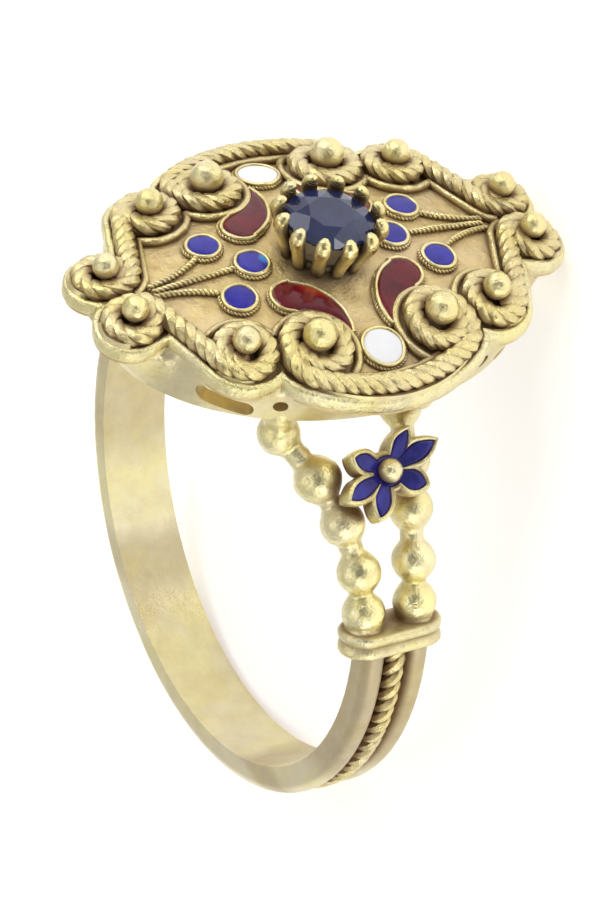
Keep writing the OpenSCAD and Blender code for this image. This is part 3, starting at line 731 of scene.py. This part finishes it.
BOTH, ACROSS, ALL = ((1, 1), (1, -1)), ((1, 1), (-1, 1)), ((1, 1), (-1, 1), (1, -1), (-1, -1))
CELLS = [
    ("white", circle(WHITE_CELL), BOTH),
    ("blue", circle(CENTRE_CELL), ACROSS),
    ("blue", circle(SIDE_CELL), ALL),
    ("red", drop, ALL),
]
cell_gold = gold("cell_gold", (0.84, 0.72, 0.38), 0.32, 1.1, 0.3, 0.6, 0.5)
bm = bmesh.new()
for colour, outline, mirrors in CELLS:
    for mirror in mirrors:
        wire(bm, on_plate(outline(CELL_GROWN), CELL_LIFT, mirror), CELL_R, 3, closed=True)
        braid = on_dome(outline(BRAID_GROWN), BRAID_LIFT, mirror)
        twisted(bm, braid, BRAID_R, BRAID_PITCH, closed=True)
(x1, y1), (x2, y2), (x3, y3) = STALK_BEND
stalk = []
for i in range(31):
    t = i / 30
    x = (1 - t) ** 2 * x1 + 2 * t * (1 - t) * x2 + t * t * x3
    y = (1 - t) ** 2 * y1 + 2 * t * (1 - t) * y2 + t * t * y3
    stalk.append((x, y))
for mirror in ALL:
    twisted(bm, on_dome(stalk, STALK_LIFT, mirror), STALK_R, STALK_PITCH)
middle_stalk = [(MIDDLE_STALK_START + MIDDLE_STALK_LONG * i / 30, 0) for i in range(31)]
for mirror in ACROSS:
    twisted(bm, on_dome(middle_stalk, STALK_LIFT, mirror), STALK_R, STALK_PITCH)
handmade(bm, 0.015)
piece("cell_wires", bm, cell_gold, "gold")

# Enamel: white, blue and deep red glass, laid in the cells as powder and fired, full to the wire
# and a little domed. A blue and a red one have a patch of another tint from the kiln.
pools = {
    "white": ["white_enamel_back", "white_enamel_front"],
    "blue": [f"blue_enamel_{i}" for i in range(1, 7)],
    "red": [f"red_enamel_{i}" for i in range(1, 5)],
}
# Each patch: its place on the upright ring, its radius, and its colour.
BLUE_FIRED = ((-2.08, 0, 11.8), 0.3, (0.06, 0.3, 0.72))
RED_FIRED = ((-0.84, -1.26, 11.8), 0.95, (0.5, 0.06, 0.015))
glazes = {
    "white": glaze("white_glaze", (0.99, 0.99, 1), (0.94, 0.95, 0.98), depth=0.1),
    "blue": glaze("blue_glaze", (0.04, 0.034, 0.40), (0.025, 0.02, 0.27), fired=BLUE_FIRED),
    "red": glaze("red_glaze", (0.19, 0.008, 0.013), (0.09, 0.004, 0.012), fired=RED_FIRED),
}
# From the pool's underside to its top: what share of the way in from its edge, and how high.
POOL = (
    (1, 0.04), (0, 0.04), (0, 0.17), (0.08, 0.195),
    (0.25, 0.205), (0.5, 0.212), (0.75, 0.216), (1, 0.218),
)


def between(a, b, t):
    """Point in plan a share t of the way from a to b."""
    return a[0] * (1 - t) + b[0] * t, a[1] * (1 - t) + b[1] * t


for colour, outline, mirrors in CELLS:
    edge = outline(0.01)
    count = len(edge) // 2 * 2
    edge = [edge[int(i * len(edge) / count)] for i in range(count)]
    # The spine lies halfway between the two sides of the pool, and each point of the edge looks
    # in to its own place on it, away from the spine's ends.
    spine = [((edge[i][0] + edge[-i][0]) / 2, (edge[i][1] + edge[-i][1]) / 2) for i in range(count // 2 + 1)]
    middle = []
    for i in range(count):
        at = (0.14 + 0.72 * min(i, count - i) / (count / 2)) * count / 2
        k = min(int(at), count // 2 - 1)
        middle.append(between(spine[k], spine[k + 1], at - k))
    for mirror in mirrors:
        bm = bmesh.new()
        rings = []
        for inward, lift in POOL:
            plan = [between(outer, inner, inward) for outer, inner in zip(edge, middle)]
            rings.append(loop(bm, on_plate(plan, lift, mirror)))
        for a, b in zip(rings, rings[1:]):
            bmesh.ops.bridge_loops(bm, edges=a + b)
        bmesh.ops.remove_doubles(bm, verts=bm.verts, dist=0.0005)
        node = pools[colour].pop(0)
        piece(node.replace("enamel", "pool"), bm, glazes[colour], colour + "_enamel", node)

# Sapphire: a round brilliant of very dark blue corundum, a little clouded, cut in flat facets and
# held high by the claws.
gem = bpy.data.materials.new("dark_sapphire")
tree, add, shader = nodes_of(gem)
shader.inputs["Roughness"].default_value = 0.03
shader.inputs["IOR"].default_value = 1.77
shader.inputs["Specular IOR Level"].default_value = 0.3
shader.inputs["Transmission Weight"].default_value = 0.2
haze = add("TexNoise", Scale=1500, Detail=3)
tint = add("ValToRGB")
tint.color_ramp.elements[0].color = (0.006, 0.008, 0.04, 1)
tint.color_ramp.elements[1].color = (0.035, 0.05, 0.16, 1)
tree.links.new(add("TexCoord").outputs["Object"], haze.inputs["Vector"])
tree.links.new(haze.outputs["Fac"], tint.inputs["Fac"])
tree.links.new(tint.outputs["Color"], shader.inputs["Base Color"])
finish_node("sapphire", gem)

# Claws: twelve tapered gold claws soldered to a ring on the plate, each bent over the stone's edge
# and rubbed down to a rounded leaf, with very dark brown between them and on their inner sides,
# partly dirt and partly painted shade.
CLAWS, CLAW_TURN, CLAW_WIDE = 12, 24, 1.15
# Along a claw from its foot to its leaf's tip: how far out, how high, and its radius.
CLAW_BEND = [
    (1.24, 0.03, 0.2), (1.34, 0.4, 0.205), (1.5, 0.8, 0.215), (1.63, 1.08, 0.23), (1.71, 1.3, 0.245),
    (1.69, 1.47, 0.235), (1.61, 1.6, 0.19), (1.52, 1.66, 0.12), (1.47, 1.675, 0.05), (1.455, 1.675, 0.01),
]
# Round the ring's section: how far out, and how high.
COLLET = [(1.0, 0.04), (1.18, 0.04), (1.2, 0.08), (1.2, 0.24), (1.17, 0.28), (1.04, 0.28), (1.0, 0.24)]
# Very dark brown for the claws' recesses and inner sides: partly dirt and partly painted shade.
CLAW_DIRT_AND_SHADE = (0.1, 0.055, 0.025, 1)
claw_gold = gold("claw_gold", (0.88, 0.76, 0.38), 0.24, 1.5, 0.6, 0.6, 0.4, 0.93, CLAW_DIRT_AND_SHADE)
course, sizes = [], []
for (r1, z1, s1), (r2, z2, s2) in zip(CLAW_BEND, CLAW_BEND[1:]):
    for k in range(5):
        t = k / 5
        course.append(Vector((r1 + (r2 - r1) * t, 0, z1 + (z2 - z1) * t)))
        sizes.append(s1 + (s2 - s1) * t)
bm = bmesh.new()
for i in range(CLAWS):
    turn = Matrix.Rotation(radians(360 / CLAWS * i + CLAW_TURN), 4, "Z")
    seat = Matrix.Translation((0, 0, CROWN)) @ turn @ Matrix.Diagonal((1, CLAW_WIDE, 1, 1))
    before = len(bm.verts)
    wire(bm, course, sizes, 4)
    bm.verts.ensure_lookup_table()
    bmesh.ops.transform(bm, matrix=seat, verts=bm.verts[before:])
bmesh.ops.smooth_vert(bm, verts=bm.verts, factor=0.3, use_axis_x=True, use_axis_y=True, use_axis_z=True)
rings = []
for r, z in COLLET:
    turns = [2 * pi * k / 48 for k in range(48)]
    rings.append(loop(bm, [Vector((r * cos(turn), r * sin(turn), CROWN + z)) for turn in turns]))
skin(bm, rings, capped=False)
piece("claws", bm, claw_gold, "gold", "claw_setting")

# Gallery: a smooth wall of gold sheet from under the rim to an oval foot, pierced with a long oval
# and a round hole on each side of every shoulder, brown inside with painted shade, and soldered to
# the plate.
GALLERY_GROWN, GALLERY_THICK = 0.55, 0.5
FOOT_LONG, FOOT_CROSS, FOOT_DOWN = 7.4, 5.4, 2.37
# Each hole: its turn from the finger's direction in degrees, how far its middle lies below the
# crown, half its length, half its height, and its slope.
PIERCED = [(36.7, 1.72, 0.95, 0.35, 0.18), (52, 1.6, 0.24, 0.24, 0)]
BETWEEN_HOLES = 1.64
gallery_gold = gold("gallery_gold", (0.81, 0.705, 0.40), 0.38, 1.2, 0.9, 0.6, 0.7, 0.68)


def foot_height(a):
    """Height of the wall's foot at an angle, a little higher at the shoulders."""
    return CROWN - FOOT_DOWN + 0.1 * sin(2 * a) ** 2 + 0.1 * sin(a) ** 8


def wall_point(angle, deep):
    """Point of the wall's outer side, a share deep of the way from the rim to the foot."""
    top = edge_reach(angle, GALLERY_GROWN)
    foot = FOOT_LONG * FOOT_CROSS / hypot(FOOT_CROSS * cos(angle), FOOT_LONG * sin(angle))
    if deep > 0:
        turns = (-0.08, -0.04, 0, 0.04, 0.08)
        rounded = sum(edge_reach(angle + turn, GALLERY_GROWN) for turn in turns) / 5
        top += (rounded - top) * min(1, 4 * deep)
    r = top + (foot - top) * deep
    x, y = r * cos(angle), r * sin(angle)
    high = dome(x, y)[0].z
    return Vector((x, y, high + (foot_height(angle) - high) * deep ** 1.25))


def deep_at(angle, height):
    """How far down the wall a height lies."""
    low, high = 0.0, 1.0
    for step in range(30):
        mid = (low + high) / 2
        low, high = (mid, high) if wall_point(angle, mid).z > height else (low, mid)
    return low


# Columns of the wall, each with the height and half the opening of the hole that it crosses.
angles = {i * pi / 120: None for i in range(240)}
for way, half in ((1, 0), (1, 180), (-1, 0), (-1, 180)):
    for turn, down, length, height, slope in PIERCED:
        centre = radians(way * turn + half)
        reach = wall_point(centre, 0.5).to_2d().length
        for a in list(angles):
            if abs((a - centre + pi) % (2 * pi) - pi) < atan2(length, reach) + 0.012:
                del angles[a]
        for k in range(25):
            across = -length * cos(pi * k / 24)
            rise = sqrt(max(height ** 2 - max(abs(across) - (length - height), 0) ** 2, 0))
            angles[(centre + atan2(across, reach)) % (2 * pi)] = (down + way * slope * across, rise)
bm = bmesh.new()
columns = []
for angle in sorted(angles):
    down, rise = angles[angle] or (BETWEEN_HOLES, 0)
    upper, lower = deep_at(angle, CROWN - down + rise), deep_at(angle, CROWN - down - rise)
    above = [bm.verts.new(wall_point(angle, upper * k / 8)) for k in range(9)]
    below = [bm.verts.new(wall_point(angle, lower + (1 - lower) * k / 5)) for k in range(6)]
    columns.append((above, below))
for (a1, a2), (b1, b2) in zip(columns, columns[1:] + columns[:1]):
    for a, b in ((a1, b1), (a2, b2)):
        for k in range(len(a) - 1):
            bm.faces.new((a[k], a[k + 1], b[k + 1], b[k]))
bmesh.ops.remove_doubles(bm, verts=bm.verts, dist=0.0008)
hammer(bm, 0.015, 0.9)
bmesh.ops.recalc_face_normals(bm, faces=bm.faces)
in_plan = Vector((1, 1, 0))
outwards = sum(face.normal.dot(face.calc_center_median() * in_plan) for face in bm.faces)
if outwards < 0:
    bmesh.ops.reverse_faces(bm, faces=bm.faces)
bmesh.ops.solidify(bm, geom=bm.faces[:], thickness=GALLERY_THICK)
# The thickening leaves its faces in an order of chance, so they are laid again in that of their
# points, and the wall comes out the same each time.
bm.verts.index_update()
corners = sorted([vert.index for vert in face.verts] for face in bm.faces)
bmesh.ops.delete(bm, geom=bm.edges[:], context="EDGES_FACES")
bm.verts.ensure_lookup_table()
for corner in corners:
    bm.faces.new([bm.verts[i] for i in corner])
wall = piece("gallery_wall", bm, gallery_gold, "gold", "gallery")
soft = wall.modifiers.new("soft_edges", "BEVEL")
soft.width = 0.00004
soft.segments = 2
soft.limit_method = "ANGLE"
soft.angle_limit = radians(60)
